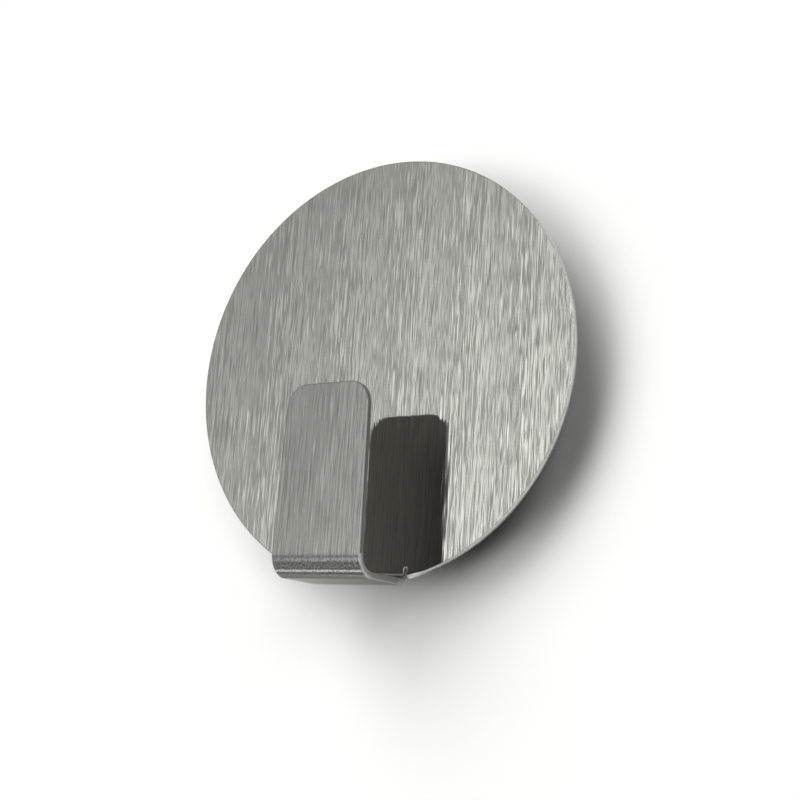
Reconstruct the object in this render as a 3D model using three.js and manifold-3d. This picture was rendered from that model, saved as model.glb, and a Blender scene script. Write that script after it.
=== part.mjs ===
// Round magnetic hook: a stamped steel plate with a folded hook, on a tray of disc magnets with a rubber grip pad.
// Units are millimetres. +Z is up, the hook faces -Y, and the wall is the plane y = 0 at the grip pad's rear face.
import * as THREE from 'three';
import { mergeVertices } from 'three/addons/utils/BufferGeometryUtils.js';
import Module from 'manifold-3d';

// Steel plate and its hook
const PLATE_DIAMETER = 60;
const SHEET = 1;
const HOOK_BASE_WIDTH = 13.6;
const HOOK_TIP_WIDTH = 12.7;
const HOOK_THROAT = 9.9;
const HOOK_RISE = 25.3;
const HOOK_DROP = 0.2;
const HOOK_CORNER_RADIUS = 3;
const REAR_FOLD_RADIUS = 1;
const FRONT_FOLD_RADIUS = 2;
const RELIEF_WIDTH = 0.6;
const RELIEF_REACH = 0.3;

// Foam tape between the plate and the tray
const TAPE_DIAMETER = 46;
const TAPE_THICKNESS = 0.8;

// Disc magnets
const MAGNET_COUNT = 6;
const MAGNET_DIAMETER = 10;
const MAGNET_HEIGHT = 3;
const MAGNET_CHAMFER = 0.3;

// Moulded tray that holds the magnets
const TRAY_DIAMETER = 50;
const TRAY_FLOOR = 1;
const TRAY_RIM = 1.8;
const TRAY_LIP = 1;
const TRAY_CHAMFER = 0.4;
const SOCKET_WALL = 1.2;
const SOCKET_CLEARANCE = 0.25;
const SOCKET_HEADROOM = 0.1;
const SOCKET_INTO_RIM = 0.4;
const RIB_WIDTH = 1.2;
const HUB_RADIUS = 4.5;

// Rubber grip pad
const PAD_THICKNESS = 1;
const PAD_PROUD = 0.5;
const PAD_CLEARANCE = 0.3;
const PAD_CHAMFER = 0.25;

// Fineness of the round faces
const PLATE_SEGMENTS = 144;
const TRAY_SEGMENTS = 96;
const MAGNET_SEGMENTS = 40;
const FOLD_SEGMENTS = 10;

// Length by which a cutter or a joined piece runs past the face that it works on
const OVERRUN = 2;

// Levels from the wall forward, as y
const PAD_FRONT = -PAD_THICKNESS;
const LIP_REAR = -PAD_PROUD;
const FLOOR_REAR = PAD_FRONT - SOCKET_HEADROOM - MAGNET_HEIGHT;
const TRAY_FRONT = FLOOR_REAR - TRAY_FLOOR;
const PLATE_REAR = TRAY_FRONT - TAPE_THICKNESS;
const PLATE_FRONT = PLATE_REAR - SHEET;
const TAB_REAR = PLATE_FRONT - HOOK_THROAT;
const TAB_FRONT = TAB_REAR - SHEET;

// Heights of the hook, as z
const UNDERSIDE = -PLATE_DIAMETER / 2 - HOOK_DROP;
const SADDLE = UNDERSIDE + SHEET;
const REAR_FOLD_TOP = SADDLE + REAR_FOLD_RADIUS;
const FRONT_FOLD_TOP = SADDLE + FRONT_FOLD_RADIUS;
const TAB_TOP = UNDERSIDE + HOOK_RISE;

// Radii of the tray and its magnets
const TRAY_RADIUS = TRAY_DIAMETER / 2;
const RIM_INNER_RADIUS = TRAY_RADIUS - TRAY_RIM;
const RECESS_RADIUS = TRAY_RADIUS - TRAY_LIP;
const POCKET_RADIUS = MAGNET_DIAMETER / 2 + SOCKET_CLEARANCE;
const SOCKET_RADIUS = POCKET_RADIUS + SOCKET_WALL;
const MAGNET_CIRCLE = RIM_INNER_RADIUS + SOCKET_INTO_RIM - SOCKET_RADIUS;

const wasm = await Module();
wasm.setup();

function solidFrom(geometry) {
  const plain = geometry.clone();
  plain.deleteAttribute('normal');
  plain.deleteAttribute('uv');
  const welded = mergeVertices(plain);
  const corners = [];
  for (let i = 0; i < welded.index.count; i += 3) {
    const a = welded.index.getX(i);
    const b = welded.index.getX(i + 1);
    const c = welded.index.getX(i + 2);
    if (a !== b && b !== c && c !== a) {
      corners.push(a, b, c);
    }
  }
  const mesh = new wasm.Mesh({
    numProp: 3,
    vertProperties: new Float32Array(welded.attributes.position.array),
    triVerts: new Uint32Array(corners),
  });
  return new wasm.Manifold(mesh);
}

function geometryFrom(solid) {
  const mesh = solid.getMesh();
  const indexed = new THREE.BufferGeometry();
  indexed.setAttribute('position', new THREE.BufferAttribute(new Float32Array(mesh.vertProperties), 3));
  indexed.setIndex(new THREE.BufferAttribute(new Uint32Array(mesh.triVerts), 1));
  const geometry = indexed.toNonIndexed();
  geometry.computeVertexNormals();
  return geometry;
}

function turned(profile, segments) {
  const points = profile.map(([radius, y]) => new THREE.Vector2(radius, y));
  return new THREE.LatheGeometry(points, segments);
}

function round(radius, from, to, segments) {
  const geometry = new THREE.CylinderGeometry(radius, radius, to - from, segments);
  return geometry.translate(0, (from + to) / 2, 0);
}

function block(xFrom, xTo, yFrom, yTo, zFrom, zTo) {
  const geometry = new THREE.BoxGeometry(xTo - xFrom, yTo - yFrom, zTo - zFrom);
  return geometry.translate((xFrom + xTo) / 2, (yFrom + yTo) / 2, (zFrom + zTo) / 2);
}

// Side view of the folded tongue, drawn with y across and z up: down the plate, forward, and up the tab
function tongueSide() {
  const rearY = PLATE_FRONT - REAR_FOLD_RADIUS;
  const frontY = TAB_REAR + FRONT_FOLD_RADIUS;
  const legTop = REAR_FOLD_TOP + OVERRUN;
  const down = -Math.PI / 2;
  const side = new THREE.Shape();
  side.moveTo(PLATE_REAR, legTop);
  side.lineTo(PLATE_REAR, REAR_FOLD_TOP);
  side.absarc(rearY, REAR_FOLD_TOP, REAR_FOLD_RADIUS + SHEET, 0, down, true);
  side.lineTo(frontY, UNDERSIDE);
  side.absarc(frontY, FRONT_FOLD_TOP, FRONT_FOLD_RADIUS + SHEET, down, -Math.PI, true);
  side.lineTo(TAB_FRONT, TAB_TOP);
  side.lineTo(TAB_REAR, TAB_TOP);
  side.lineTo(TAB_REAR, FRONT_FOLD_TOP);
  side.absarc(frontY, FRONT_FOLD_TOP, FRONT_FOLD_RADIUS, -Math.PI, down, false);
  side.lineTo(rearY, SADDLE);
  side.absarc(rearY, REAR_FOLD_TOP, REAR_FOLD_RADIUS, down, 0, false);
  side.lineTo(PLATE_FRONT, legTop);
  side.closePath();
  return side;
}

// Front view of the tongue: straight up to the front fold, then narrowing to a tip with rounded corners
function tongueFront() {
  const base = HOOK_BASE_WIDTH / 2;
  const tip = HOOK_TIP_WIDTH / 2;
  const low = UNDERSIDE - OVERRUN;
  const slant = Math.atan2(base - tip, TAB_TOP - FRONT_FOLD_TOP);
  const cornerX = tip - HOOK_CORNER_RADIUS * (1 - Math.sin(slant)) / Math.cos(slant);
  const cornerZ = TAB_TOP - HOOK_CORNER_RADIUS;
  const front = new THREE.Shape();
  front.moveTo(-base, low);
  front.lineTo(base, low);
  front.lineTo(base, FRONT_FOLD_TOP);
  front.absarc(cornerX, cornerZ, HOOK_CORNER_RADIUS, slant, Math.PI / 2, false);
  front.absarc(-cornerX, cornerZ, HOOK_CORNER_RADIUS, Math.PI / 2, Math.PI - slant, false);
  front.lineTo(-base, FRONT_FOLD_TOP);
  front.closePath();
  return front;
}

function tongueSolid() {
  const width = HOOK_BASE_WIDTH + 2 * OVERRUN;
  const across = new THREE.ExtrudeGeometry(tongueSide(), {
    depth: width,
    bevelEnabled: false,
    curveSegments: FOLD_SEGMENTS,
  });
  const sideways = new THREE.Matrix4().makeBasis(
    new THREE.Vector3(0, 1, 0),
    new THREE.Vector3(0, 0, 1),
    new THREE.Vector3(1, 0, 0),
  );
  across.applyMatrix4(sideways).translate(-width / 2, 0, 0);
  const depth = PLATE_REAR - TAB_FRONT + 2 * OVERRUN;
  const outline = new THREE.ExtrudeGeometry(tongueFront(), {
    depth,
    bevelEnabled: false,
    curveSegments: FOLD_SEGMENTS,
  });
  const upright = new THREE.Matrix4().makeBasis(
    new THREE.Vector3(1, 0, 0),
    new THREE.Vector3(0, 0, 1),
    new THREE.Vector3(0, -1, 0),
  );
  outline.applyMatrix4(upright).translate(0, PLATE_REAR + OVERRUN, 0);
  return solidFrom(across).intersect(solidFrom(outline));
}

// The disc loses the strip that is folded forward and a relief slot with a round end on each side of it
function plateSolid() {
  const half = HOOK_BASE_WIDTH / 2;
  const low = UNDERSIDE - OVERRUN;
  const slotRadius = RELIEF_WIDTH / 2;
  const slotEnd = REAR_FOLD_TOP + RELIEF_REACH;
  const near = PLATE_REAR + OVERRUN;
  const far = PLATE_FRONT - OVERRUN;
  let plate = solidFrom(round(PLATE_DIAMETER / 2, PLATE_FRONT, PLATE_REAR, PLATE_SEGMENTS));
  plate = plate.subtract(solidFrom(block(-half, half, far, near, low, REAR_FOLD_TOP)));
  for (const hand of [-1, 1]) {
    const middle = hand * (half + slotRadius);
    const slot = block(middle - slotRadius, middle + slotRadius, far, near, low, slotEnd);
    const end = round(slotRadius, far, near, 2 * FOLD_SEGMENTS).translate(middle, 0, slotEnd);
    plate = plate.subtract(solidFrom(slot).add(solidFrom(end)));
  }
  return plate.add(tongueSolid());
}

// Angle of each magnet about the tray's axis, and of the rib that follows it
function magnetAngle(index) {
  return (index + 0.5) * 2 * Math.PI / MAGNET_COUNT;
}

function ribAngle(index) {
  return index * 2 * Math.PI / MAGNET_COUNT;
}

function traySolid() {
  const bottom = FLOOR_REAR - TRAY_FLOOR / 2;
  const shell = turned([
    [0, TRAY_FRONT],
    [TRAY_RADIUS - TRAY_CHAMFER, TRAY_FRONT],
    [TRAY_RADIUS, TRAY_FRONT + TRAY_CHAMFER],
    [TRAY_RADIUS, LIP_REAR - TRAY_CHAMFER],
    [TRAY_RADIUS - TRAY_CHAMFER, LIP_REAR],
    [RECESS_RADIUS, LIP_REAR],
    [RECESS_RADIUS, PAD_FRONT],
    [RIM_INNER_RADIUS, PAD_FRONT],
    [RIM_INNER_RADIUS, FLOOR_REAR],
    [0, FLOOR_REAR],
  ], TRAY_SEGMENTS);
  let tray = solidFrom(shell);
  tray = tray.add(solidFrom(round(HUB_RADIUS, bottom, PAD_FRONT, MAGNET_SEGMENTS)));
  for (let i = 0; i < MAGNET_COUNT; i += 1) {
    const reach = (RIM_INNER_RADIUS + RECESS_RADIUS) / 2;
    const rib = block(0, reach, bottom, PAD_FRONT, -RIB_WIDTH / 2, RIB_WIDTH / 2);
    tray = tray.add(solidFrom(rib.rotateY(-ribAngle(i))));
    const socket = round(SOCKET_RADIUS, bottom, PAD_FRONT, MAGNET_SEGMENTS);
    tray = tray.add(solidFrom(placedAtMagnet(socket, i)));
  }
  for (let i = 0; i < MAGNET_COUNT; i += 1) {
    const pocket = round(POCKET_RADIUS, FLOOR_REAR, OVERRUN, MAGNET_SEGMENTS);
    tray = tray.subtract(solidFrom(placedAtMagnet(pocket, i)));
  }
  const hubHole = round(HUB_RADIUS - SOCKET_WALL, FLOOR_REAR, OVERRUN, MAGNET_SEGMENTS);
  return tray.subtract(solidFrom(hubHole));
}

function placedAtMagnet(geometry, index) {
  const angle = magnetAngle(index);
  return geometry.translate(MAGNET_CIRCLE * Math.cos(angle), 0, MAGNET_CIRCLE * Math.sin(angle));
}

function magnetGeometry(index) {
  const radius = MAGNET_DIAMETER / 2;
  const rear = FLOOR_REAR + MAGNET_HEIGHT;
  const body = turned([
    [0, FLOOR_REAR],
    [radius - MAGNET_CHAMFER, FLOOR_REAR],
    [radius, FLOOR_REAR + MAGNET_CHAMFER],
    [radius, rear - MAGNET_CHAMFER],
    [radius - MAGNET_CHAMFER, rear],
    [0, rear],
  ], MAGNET_SEGMENTS);
  return placedAtMagnet(body, index);
}

function padGeometry() {
  const radius = RECESS_RADIUS - PAD_CLEARANCE;
  return turned([
    [0, PAD_FRONT],
    [radius, PAD_FRONT],
    [radius, -PAD_CHAMFER],
    [radius - PAD_CHAMFER, 0],
    [0, 0],
  ], TRAY_SEGMENTS);
}

function named(name, geometry, color, roughness, metalness) {
  const material = new THREE.MeshStandardMaterial({ color, roughness, metalness });
  const mesh = new THREE.Mesh(geometry, material);
  mesh.name = name;
  return mesh;
}

const part = new THREE.Group();
part.name = 'magnetic_hook';
part.add(named('hook_plate', geometryFrom(plateSolid()), 0xa9aaa4, 0.38, 1));
part.add(named('foam_tape', round(TAPE_DIAMETER / 2, PLATE_REAR, TRAY_FRONT, TRAY_SEGMENTS), 0xd8d8d4, 0.9, 0));
part.add(named('magnet_tray', geometryFrom(traySolid()), 0x1c1d1f, 0.55, 0));
for (let i = 0; i < MAGNET_COUNT; i += 1) {
  part.add(named(`magnet_${i + 1}`, magnetGeometry(i), 0xc4c5c6, 0.25, 1));
}
part.add(named('grip_pad', padGeometry(), 0x26272a, 0.85, 0));

export default part;
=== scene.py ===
"""Round magnetic hook: a folded brushed steel plate on a tray of disc magnets behind a grip pad."""

import math
from collections import namedtuple

import bmesh
import bpy
from bpy.props import FloatProperty, FloatVectorProperty, IntProperty, PointerProperty
from mathutils import Matrix, Vector


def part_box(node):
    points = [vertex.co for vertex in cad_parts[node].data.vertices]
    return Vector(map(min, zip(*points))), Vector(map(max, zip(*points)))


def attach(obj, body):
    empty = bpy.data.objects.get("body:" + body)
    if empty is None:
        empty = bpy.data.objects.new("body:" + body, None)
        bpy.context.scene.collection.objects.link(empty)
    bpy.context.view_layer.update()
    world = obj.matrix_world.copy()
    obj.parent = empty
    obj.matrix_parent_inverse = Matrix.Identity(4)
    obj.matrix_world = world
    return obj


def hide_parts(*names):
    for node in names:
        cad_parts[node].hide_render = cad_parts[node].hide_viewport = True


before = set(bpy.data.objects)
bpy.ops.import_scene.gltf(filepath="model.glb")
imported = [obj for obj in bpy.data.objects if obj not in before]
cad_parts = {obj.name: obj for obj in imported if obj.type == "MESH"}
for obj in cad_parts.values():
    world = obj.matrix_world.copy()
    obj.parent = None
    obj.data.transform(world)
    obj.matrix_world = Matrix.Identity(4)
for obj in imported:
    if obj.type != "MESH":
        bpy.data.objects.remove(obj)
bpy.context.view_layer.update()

bl_info = {
    "name": "Magnetic Hook",
    "version": (1, 0, 0),
    "blender": (4, 5, 0),
    "location": "View3D > Sidebar > Magnetic Hook",
    "description": "Dresses a round magnetic hook: folded steel plate, tape, tray, magnets and grip pad",
    "category": "Add Mesh",
}

MM = 0.001
QUARTER_TURN = math.pi / 2.0
FULL_TURN = 2.0 * math.pi
BODY = "root"

# Places of the pieces in the frame
MAGNET_NODES = sorted(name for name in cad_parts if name.startswith("magnet_") and name[-1].isdigit())
PLATE_LOW, PLATE_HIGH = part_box("hook_plate")
TAPE_LOW, TAPE_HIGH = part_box("foam_tape")
TRAY_LOW, TRAY_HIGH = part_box("magnet_tray")
PAD_LOW, PAD_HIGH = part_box("grip_pad")
MAGNET_LOW, MAGNET_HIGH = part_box(MAGNET_NODES[0])
MAGNET_MIDDLE = (MAGNET_LOW + MAGNET_HIGH) / 2.0
MAGNET_RADIUS = (MAGNET_HIGH.x - MAGNET_LOW.x) / 2.0
MAGNET_CIRCLE = math.hypot(MAGNET_MIDDLE.x, MAGNET_MIDDLE.z)

# Mesh attributes of the folded sheet
SHEET_UV = "sheet"
FOLD_ATTRIBUTE = "fold"
SIDE_ATTRIBUTE = "rear_side"
CUT_ATTRIBUTE = "cut_edge"

# A face counts as cut where the cosine between its normal and the flat sheet's is below this
FLAT_FACING = 0.93
# Shares of the depth in the sheet by which the flat place moves, so that the cut edge has its own UV area
SKEW_ACROSS = 0.37
SKEW_ALONG = 0.61

# Range that holds most of a noise's values
NOISE_LOW = 0.3
NOISE_HIGH = 0.7

# Edges and steps of the turned and swept pieces
SHARP_EDGE = math.radians(35.0)
SOCKET_STEPS = 64
MAGNET_STEPS = 96
# Share of a step from +X to the first rib, and to the first socket and its magnet
RIB_PHASE = 0.0
SOCKET_PHASE = 0.5

# Lights, with angles in degrees: bearing to the right of straight on, height above level, and spread
Glow = namedtuple("Glow", "bearing height spread strength")
WALL_LIGHTS = (
    Glow(bearing=-23.0, height=41.0, spread=33.5, strength=4.4),
    Glow(bearing=40.0, height=26.0, spread=18.5, strength=3.5),
    Glow(bearing=-36.0, height=-5.0, spread=34.0, strength=3.55),
)
LOW_SUN = Glow(bearing=-88.0, height=-55.0, spread=12.0, strength=0.065)
# Even light from behind the wall, which fades in between two depths (Y) of the direction that it comes from
REAR_LIGHT = 0.7
REAR_START = -0.1
REAR_FULL = 0.3

# Room that the metal mirrors: its levels as (height in degrees, brightness) and its bright slatted screens
ROOM_LEVELS = (
    (-90.0, 0.8), (-60.0, 0.8), (-56.5, 0.2), (-50.0, 0.6), (-45.0, 0.66), (-37.0, 0.48),
    (-31.0, 0.55), (-26.0, 0.72), (-21.0, 0.7), (-16.0, 0.46), (-10.0, 0.3), (-5.0, 0.4),
    (0.0, 0.52), (6.0, 0.66), (40.0, 0.66), (60.0, 0.4), (90.0, 0.35),
)
SCREENS = (
    Glow(bearing=-5.5, height=-5.5, spread=46.5, strength=1.85),
    Glow(bearing=52.0, height=-16.0, spread=32.0, strength=1.3),
    Glow(bearing=48.0, height=-4.0, spread=11.0, strength=3.5),
    Glow(bearing=180.0, height=5.0, spread=75.0, strength=1.5),
)
SLATS_ROUND = 130.0
SLAT_EDGE = 0.5
SLAT_PEAK = 2.0


# Settings

def length(name, description, default):
    """A length in metres, shown in the scene's own unit."""
    return FloatProperty(name=name, description=description, default=default, subtype="DISTANCE",
                         unit="LENGTH", precision=5)


def angle(name, description, degrees):
    """An angle, given in degrees and kept in radians."""
    return FloatProperty(name=name, description=description, default=math.radians(degrees),
                         subtype="ANGLE", unit="ROTATION")


def optical(name, description, default):
    """A length in the camera, in millimetres."""
    return FloatProperty(name=name, description=description, default=default, unit="CAMERA")


def number(name, description, default):
    """A plain number."""
    return FloatProperty(name=name, description=description, default=default)


def factor(name, description, default):
    """A plain number from 0 to 1."""
    return FloatProperty(name=name, description=description, default=default, subtype="FACTOR",
                         min=0.0, max=1.0)


def step_count(name, description, default, least):
    """A number of steps."""
    return IntProperty(name=name, description=description, default=default, min=least)


def colour(name, description, default):
    """A linear colour."""
    return FloatVectorProperty(name=name, description=description, default=default, size=3, subtype="COLOR",
                               min=0.0, max=1.0)


class PlateSettings(bpy.types.PropertyGroup):
    """Sizes and finish of the folded steel plate"""

    sheet: length("Sheet", "Thickness of the steel sheet", 1.0 * MM)
    base_width: length("Base width", "Width of the tongue where it leaves the disc", 13.6 * MM)
    tip_width: length("Tip width", "Width of the tab at its tip, before the corners are rounded", 12.7 * MM)
    rise: length("Rise", "Height of the tab's tip above the underside of the fold", 25.3 * MM)
    corner_radius: length("Corner radius", "Radius of the tab's two corners", 3.0 * MM)
    rear_fold: length("Rear fold", "Inner radius of the fold at the disc", 1.0 * MM)
    front_fold: length("Front fold", "Inner radius of the fold below the tab", 2.0 * MM)
    lean: angle("Lean", "Angle by which the tab leans back towards the disc", 0.55)
    relief_width: length("Relief width", "Width of the slot on each side of the tongue", 0.4 * MM)
    relief_reach: length("Relief reach", "How far the slot runs past the start of the fold", 0.3 * MM)
    edge_radius: length("Edge radius", "Radius of the stamped edge", 0.16 * MM)
    round_steps: step_count("Round steps", "Steps round the disc", 320, 32)
    fold_steps: step_count("Fold steps", "Steps round each fold", 20, 4)
    steel: colour("Steel", "Colour of the brushed steel", (0.329, 0.331, 0.306))
    inner_steel: colour("Inner steel", "Colour of the matt face inside the hook", (0.395, 0.375, 0.372))
    edge_steel: colour("Cut steel", "Colour of the stamped edge", (0.55, 0.55, 0.535))
    glancing: colour("Glancing tint", "Tint of the steel seen at a low angle", (0.45, 0.45, 0.44))
    roughness: factor("Roughness", "Mean roughness of the brushed face", 0.05)
    anisotropy: factor("Anisotropy", "How much wider the gloss is across the grain than along it", 0.40)
    long_density: number("Long line density", "Long brush lines to a millimetre", 4.8)
    long_length: number("Long line length", "Length of the long brush lines, in millimetres", 14.0)
    short_density: number("Short line density", "Short brush lines to a millimetre", 6.5)
    short_length: number("Short line length", "Length of the short brush lines, in millimetres", 4.8)
    line_contrast: number("Line contrast", "How far the brush lines darken and lighten the steel", 0.6)
    line_slope: number("Line slope", "How far the brush lines tip the face", 0.065)
    fold_lines: factor("Lines on folds", "Share of the brush lines that a fold leaves", 0.2)
    fold_specks: number("Specks on folds", "Contrast of the specks where a fold stretches the steel", 3.0)
    peel_depth: length("Peel depth", "Depth of the rough skin where a fold stretches the steel", 0.013 * MM)
    # Partly the rear face's duller finish and partly painted shade: it darkens the whole tab front and the
    # fold's underside
    rear_dullness_and_shade: factor("Rear tone", "Tone of the sheet's rear face against its front", 0.712)
    inner_matt: factor("Inner matt", "Roughness added inside the hook", 0.3)
    rear_matt: factor("Rear matt", "Roughness added on the sheet's rear face", 0.04)
    fold_matt: factor("Fold matt", "Most roughness added where a fold stretches the steel", 0.08)


class BackingSettings(bpy.types.PropertyGroup):
    """Sizes and finish of the tape, the tray, the magnets and the pad"""

    rim: length("Rim", "Thickness of the tray's rim", 1.8 * MM)
    lip: length("Lip", "Thickness of the tray's lip round the pad", 1.0 * MM)
    floor: length("Floor", "Thickness of the tray's floor", 1.0 * MM)
    socket_wall: length("Socket wall", "Wall of each magnet's socket", 1.2 * MM)
    socket_clearance: length("Socket clearance", "Gap between a magnet and its socket", 0.25 * MM)
    rib_width: length("Rib width", "Width of the ribs between the sockets", 1.2 * MM)
    hub_radius: length("Hub radius", "Outer radius of the ring at the tray's middle", 4.5 * MM)
    tape_swell: length("Tape swell", "How far the tape's edge swells at its middle", 0.12 * MM)
    tape_edge: length("Tape edge", "Radius of the tape's edges", 0.05 * MM)
    tray_edge: length("Tray edge", "Radius of the tray's outer edges", 0.4 * MM)
    magnet_edge: length("Magnet edge", "Radius of a magnet's edges", 0.3 * MM)
    pad_edge: length("Pad edge", "Radius of the pad's edges", 0.25 * MM)
    round_steps: step_count("Round steps", "Steps round the tray and the pad", 192, 24)
    foam: colour("Foam", "Colour of the foam tape", (0.72, 0.72, 0.69))
    plastic: colour("Plastic", "Colour of the moulded tray", (0.012, 0.0125, 0.0135))
    nickel: colour("Nickel", "Colour of the magnets' plating", (0.62, 0.61, 0.58))
    rubber: colour("Rubber", "Colour of the grip pad", (0.019, 0.0195, 0.021))


class StageSettings(bpy.types.PropertyGroup):
    """Camera and wall"""

    azimuth: angle("Azimuth", "Camera's bearing, to the right of straight on", 32.18)
    elevation: angle("Elevation", "Camera's height above the disc's middle, as an angle", -12.92)
    roll: angle("Roll", "Camera's turn about its own axis", 3.70)
    distance: length("Distance", "How far the camera stands back from the disc's middle", 181.5 * MM)
    step_right: length("Step right", "Sideways step of the camera", 3.49 * MM)
    step_down: length("Step down", "Downward step of the camera", 4.69 * MM)
    lens: optical("Lens", "Focal length of the camera", 59.07)
    sensor: optical("Sensor", "Width of the camera's sensor", 36.0)
    wall_left: length("Wall left", "From the disc's middle to the wall's left edge", 110.0 * MM)
    wall_right: length("Wall right", "From the disc's middle to the wall's right edge", 90.0 * MM)
    wall_down: length("Wall down", "From the disc's middle to the wall's lower edge", 66.0 * MM)
    wall_up: length("Wall up", "From the disc's middle to the wall's upper edge", 100.0 * MM)
    wall_gap: length("Wall gap", "Gap between the grip pad and the wall", 0.1 * MM)
    wall: colour("Wall", "Colour of the wall", (0.96, 0.96, 0.94))


# Node helpers

def link_value(tree, value, socket):
    """Feeds a node's input from another node's output, or sets it to a plain value."""
    if isinstance(value, bpy.types.NodeSocket):
        tree.links.new(value, socket)
    else:
        socket.default_value = value


def calc(tree, operation, *values):
    """A Math node on up to three values, each a number or another node's output."""
    node = tree.nodes.new("ShaderNodeMath")
    node.operation = operation
    for value, socket in zip(values, node.inputs):
        link_value(tree, value, socket)
    return node.outputs[0]


def vector_calc(tree, operation, *values):
    """A Vector Math node, giving its vector output."""
    node = tree.nodes.new("ShaderNodeVectorMath")
    node.operation = operation
    for value, socket in zip(values, node.inputs):
        link_value(tree, value, socket)
    return node.outputs["Vector"]


def joined(tree, **values):
    """A vector made of the parts that are given by axis, X, Y or Z, with 0 for the rest."""
    node = tree.nodes.new("ShaderNodeCombineXYZ")
    for axis, value in values.items():
        link_value(tree, value, node.inputs[axis])
    return node.outputs[0]


def parted(tree, vector):
    """The outputs X, Y and Z of a vector."""
    node = tree.nodes.new("ShaderNodeSeparateXYZ")
    tree.links.new(vector, node.inputs[0])
    return node.outputs


def clamped(tree, value, low, high):
    """A value held between two limits."""
    return calc(tree, "MINIMUM", calc(tree, "MAXIMUM", value, low), high)


def halfway(tree, first, second):
    """The value halfway between two values."""
    return calc(tree, "MULTIPLY", calc(tree, "ADD", first, second), 0.5)


def remap(tree, value, from_low, from_high, to_low, to_high):
    """A Map Range node that clamps."""
    node = tree.nodes.new("ShaderNodeMapRange")
    for name, level in (("Value", value), ("From Min", from_low), ("From Max", from_high),
                        ("To Min", to_low), ("To Max", to_high)):
        link_value(tree, level, node.inputs[name])
    return node.outputs["Result"]


def from_noise(tree, value, low, high):
    """A noise's values spread between two limits."""
    return remap(tree, value, NOISE_LOW, NOISE_HIGH, low, high)


def mixed_colour(tree, amount, first, second, blend="MIX"):
    """A Mix node on two colours."""
    node = tree.nodes.new("ShaderNodeMix")
    node.data_type = "RGBA"
    node.blend_type = blend
    link_value(tree, amount, node.inputs[0])
    for value, socket in ((first, node.inputs[6]), (second, node.inputs[7])):
        link_value(tree, value if isinstance(value, bpy.types.NodeSocket) else (*value, 1.0), socket)
    return node.outputs[2]


def mixed_value(tree, amount, first, second):
    """A Mix node on two numbers."""
    node = tree.nodes.new("ShaderNodeMix")
    for value, socket in zip((amount, first, second), (node.inputs[0], node.inputs[2], node.inputs[3])):
        link_value(tree, value, socket)
    return node.outputs[0]


def noise(tree, vector, scale, detail=2.0, roughness=0.5, stretch=None):
    """A Noise Texture's factor, on a vector that may first be stretched along its axes."""
    if stretch is not None:
        vector = vector_calc(tree, "MULTIPLY", vector, stretch)
    node = tree.nodes.new("ShaderNodeTexNoise")
    tree.links.new(vector, node.inputs["Vector"])
    node.inputs["Scale"].default_value = scale
    node.inputs["Detail"].default_value = detail
    node.inputs["Roughness"].default_value = roughness
    return node.outputs[0]


def new_group(kind, name, inputs, outputs):
    """A node group with named sockets. Inputs are (name, type, default) and outputs are (name, type)."""
    tree = bpy.data.node_groups.new(name, kind)
    for label, socket_type, default in inputs:
        socket = tree.interface.new_socket(label, in_out="INPUT", socket_type=socket_type)
        if default is not None:
            socket.default_value = default
    for label, socket_type in outputs:
        tree.interface.new_socket(label, in_out="OUTPUT", socket_type=socket_type)
    return tree, tree.nodes.new("NodeGroupInput"), tree.nodes.new("NodeGroupOutput")


def place_group(tree, group, **values):
    """A shader group placed in a material, with its inputs set by name (spaces as underscores)."""
    node = tree.nodes.new("ShaderNodeGroup")
    node.node_tree = group
    for label, value in values.items():
        link_value(tree, value, node.inputs[label.replace("_", " ")])
    return node


def new_material(name):
    """An empty node material with a Principled shader, as (material, tree, shader)."""
    material = bpy.data.materials.new(name)
    material.use_nodes = True
    tree = material.node_tree
    return material, tree, tree.nodes["Principled BSDF"]


def bump(tree, height, distance, normal=None):
    """A Bump node's normal, on top of another normal if there is one."""
    node = tree.nodes.new("ShaderNodeBump")
    node.inputs["Distance"].default_value = distance
    tree.links.new(height, node.inputs["Height"])
    if normal is not None:
        tree.links.new(normal, node.inputs["Normal"])
    return node.outputs["Normal"]


def leaning(tree, slope, uv_map):
    """A normal that leans by a slope along a UV map's first axis. In a normal map's colour 0.5 is no lean."""
    node = tree.nodes.new("ShaderNodeNormalMap")
    node.uv_map = uv_map
    lean = joined(tree, X=calc(tree, "MULTIPLY_ADD", slope, 0.5, 0.5), Y=0.5, Z=1.0)
    tree.links.new(lean, node.inputs["Color"])
    return node.outputs["Normal"]


def object_place(tree):
    """The point on the piece, in metres."""
    return tree.nodes.new("ShaderNodeTexCoord").outputs["Object"]


def sheet_place(tree):
    """The point on the flat, unfolded sheet, in metres."""
    node = tree.nodes.new("ShaderNodeUVMap")
    node.uv_map = SHEET_UV
    return node.outputs["UV"]


def attribute(tree, name):
    """A number stored on the piece's mesh."""
    node = tree.nodes.new("ShaderNodeAttribute")
    node.attribute_name = name
    return node.outputs["Fac"]


# Shader groups shared by the materials

def brush_group():
    """Fine lines that run along a surface's second axis, as a sanding belt leaves them."""
    name = "Brush Lines"
    if name in bpy.data.node_groups:
        return bpy.data.node_groups[name]
    tree, given, made = new_group(
        "ShaderNodeTree", name,
        [("Place", "NodeSocketVector", None), ("Lines per mm", "NodeSocketFloat", 4.5),
         ("Line length", "NodeSocketFloat", 3.0)],
        [("Lines", "NodeSocketFloat")])
    across = calc(tree, "MULTIPLY", given.outputs["Lines per mm"], 1.0 / MM)
    along = calc(tree, "DIVIDE", 1.0 / MM, given.outputs["Line length"])
    lined = vector_calc(tree, "MULTIPLY", given.outputs["Place"], joined(tree, X=across, Y=along))
    tree.links.new(noise(tree, lined, 1.0, detail=1.0), made.inputs["Lines"])
    return tree


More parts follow.
